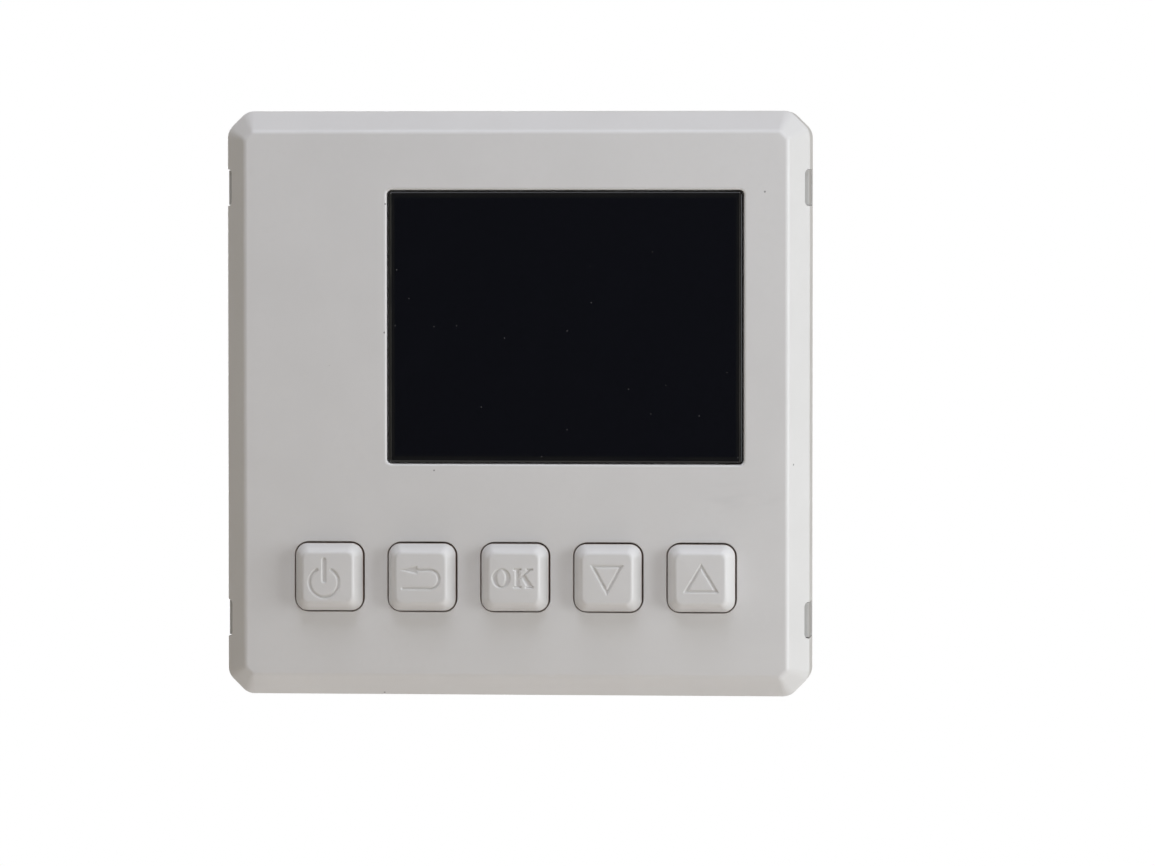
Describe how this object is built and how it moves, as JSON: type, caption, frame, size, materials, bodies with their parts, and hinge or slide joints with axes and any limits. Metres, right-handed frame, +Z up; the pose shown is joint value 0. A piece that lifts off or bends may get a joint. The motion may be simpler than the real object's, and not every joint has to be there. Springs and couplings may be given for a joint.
{
  "type": "wall thermostat",
  "caption": "Square wall thermostat: bevelled cover with a dark display window and a row of raised push buttons, clipped on a rear base with a power box and wire terminals.",
  "frame": {"origin": "centre of the base's flat rear face, on the wall plane", "axes": "-Y out of the wall into the room, +Z up, +X to the right seen from the room"},
  "size_m": [0.086, 0.0424, 0.086],
  "materials": {
    "cover_plastic": "satin moulded ABS, warm light grey",
    "base_plastic": "matte moulded plastic",
    "lens": "dark tinted acrylic, glossy",
    "adhesive": "black foam tape",
    "tray_steel": "stamped steel",
    "lcd_glass": "polished dark glass",
    "guide": "white moulded plastic",
    "flex": "amber polyimide film",
    "board": "green solder mask",
    "black_plastic": "black moulded plastic",
    "ceramic_parts": "fired ceramic and resin",
    "plunger": "black nylon",
    "screw_steel": "bright plated steel",
    "pin_brass": "gold-flashed brass",
    "relay_case": "blue case",
    "ferrite": "sintered ferrite",
    "coil_tape": "yellow insulating tape",
    "capacitor_sleeve": "shrunk dark sleeve",
    "film_case": "yellow moulded case",
    "varistor_coat": "blue epoxy dip",
    "fuse_body": "brown sleeve",
    "terminal_plastic": "green moulded nylon"
  },
  "bodies": {
    "base": {"rear_base": "base_plastic", "snap_hooks": "base_plastic", "box_lid": "base_plastic", "header_socket": "black_plastic", "power_board": "board", "power_board_screws": "screw_steel", "relay": "relay_case", "transformer_core": "ferrite", "transformer_coil": "coil_tape", "filter_capacitors": "capacitor_sleeve", "film_capacitor": "film_case", "varistor": "varistor_coat", "fuse": "fuse_body", "rectifier": "black_plastic", "terminal_block": "terminal_plastic", "terminal_clamps": "screw_steel", "terminal_screws": "screw_steel"},
    "front_unit": {"front_cover": "cover_plastic", "display_lens": "lens", "lens_adhesive": "adhesive", "lcd_frame": "tray_steel", "lcd_glass": "lcd_glass", "backlight_guide": "guide", "lcd_holder": "guide", "lcd_flex": "flex", "flex_connector": "black_plastic", "front_board": "board", "board_screws": "screw_steel", "switch_bodies": "black_plastic", "control_chips": "black_plastic", "chip_resistors": "ceramic_parts", "buzzer": "black_plastic", "backup_cell": "tray_steel", "cell_clip": "tray_steel", "room_sensor": "ceramic_parts", "header_block": "black_plastic", "header_pins": "pin_brass"},
    "button_power": {"button_power": "cover_plastic", "plunger_power": "plunger"},
    "button_return": {"button_return": "cover_plastic", "plunger_return": "plunger"},
    "button_ok": {"button_ok": "cover_plastic", "plunger_ok": "plunger"},
    "button_down": {"button_down": "cover_plastic", "plunger_down": "plunger"},
    "button_up": {"button_up": "cover_plastic", "plunger_up": "plunger"}
  },
  "joints": [
    {"name": "front_release", "type": "slide", "parent": "base", "child": "front_unit", "axis": [0, -1, 0], "range_m": [0, 0.02], "deforming": ["snap_hooks"]},
    {"name": "press_power", "type": "slide", "parent": "front_unit", "child": "button_power", "axis": [0, 1, 0], "range_m": [0, 0.0005], "stiffness_N_per_m": 4000, "springref_m": -0.0003},
    {"name": "press_return", "type": "slide", "parent": "front_unit", "child": "button_return", "axis": [0, 1, 0], "range_m": [0, 0.0005], "stiffness_N_per_m": 4000, "springref_m": -0.0003},
    {"name": "press_ok", "type": "slide", "parent": "front_unit", "child": "button_ok", "axis": [0, 1, 0], "range_m": [0, 0.0005], "stiffness_N_per_m": 4000, "springref_m": -0.0003},
    {"name": "press_down", "type": "slide", "parent": "front_unit", "child": "button_down", "axis": [0, 1, 0], "range_m": [0, 0.0005], "stiffness_N_per_m": 4000, "springref_m": -0.0003},
    {"name": "press_up", "type": "slide", "parent": "front_unit", "child": "button_up", "axis": [0, 1, 0], "range_m": [0, 0.0005], "stiffness_N_per_m": 4000, "springref_m": -0.0003}
  ]
}
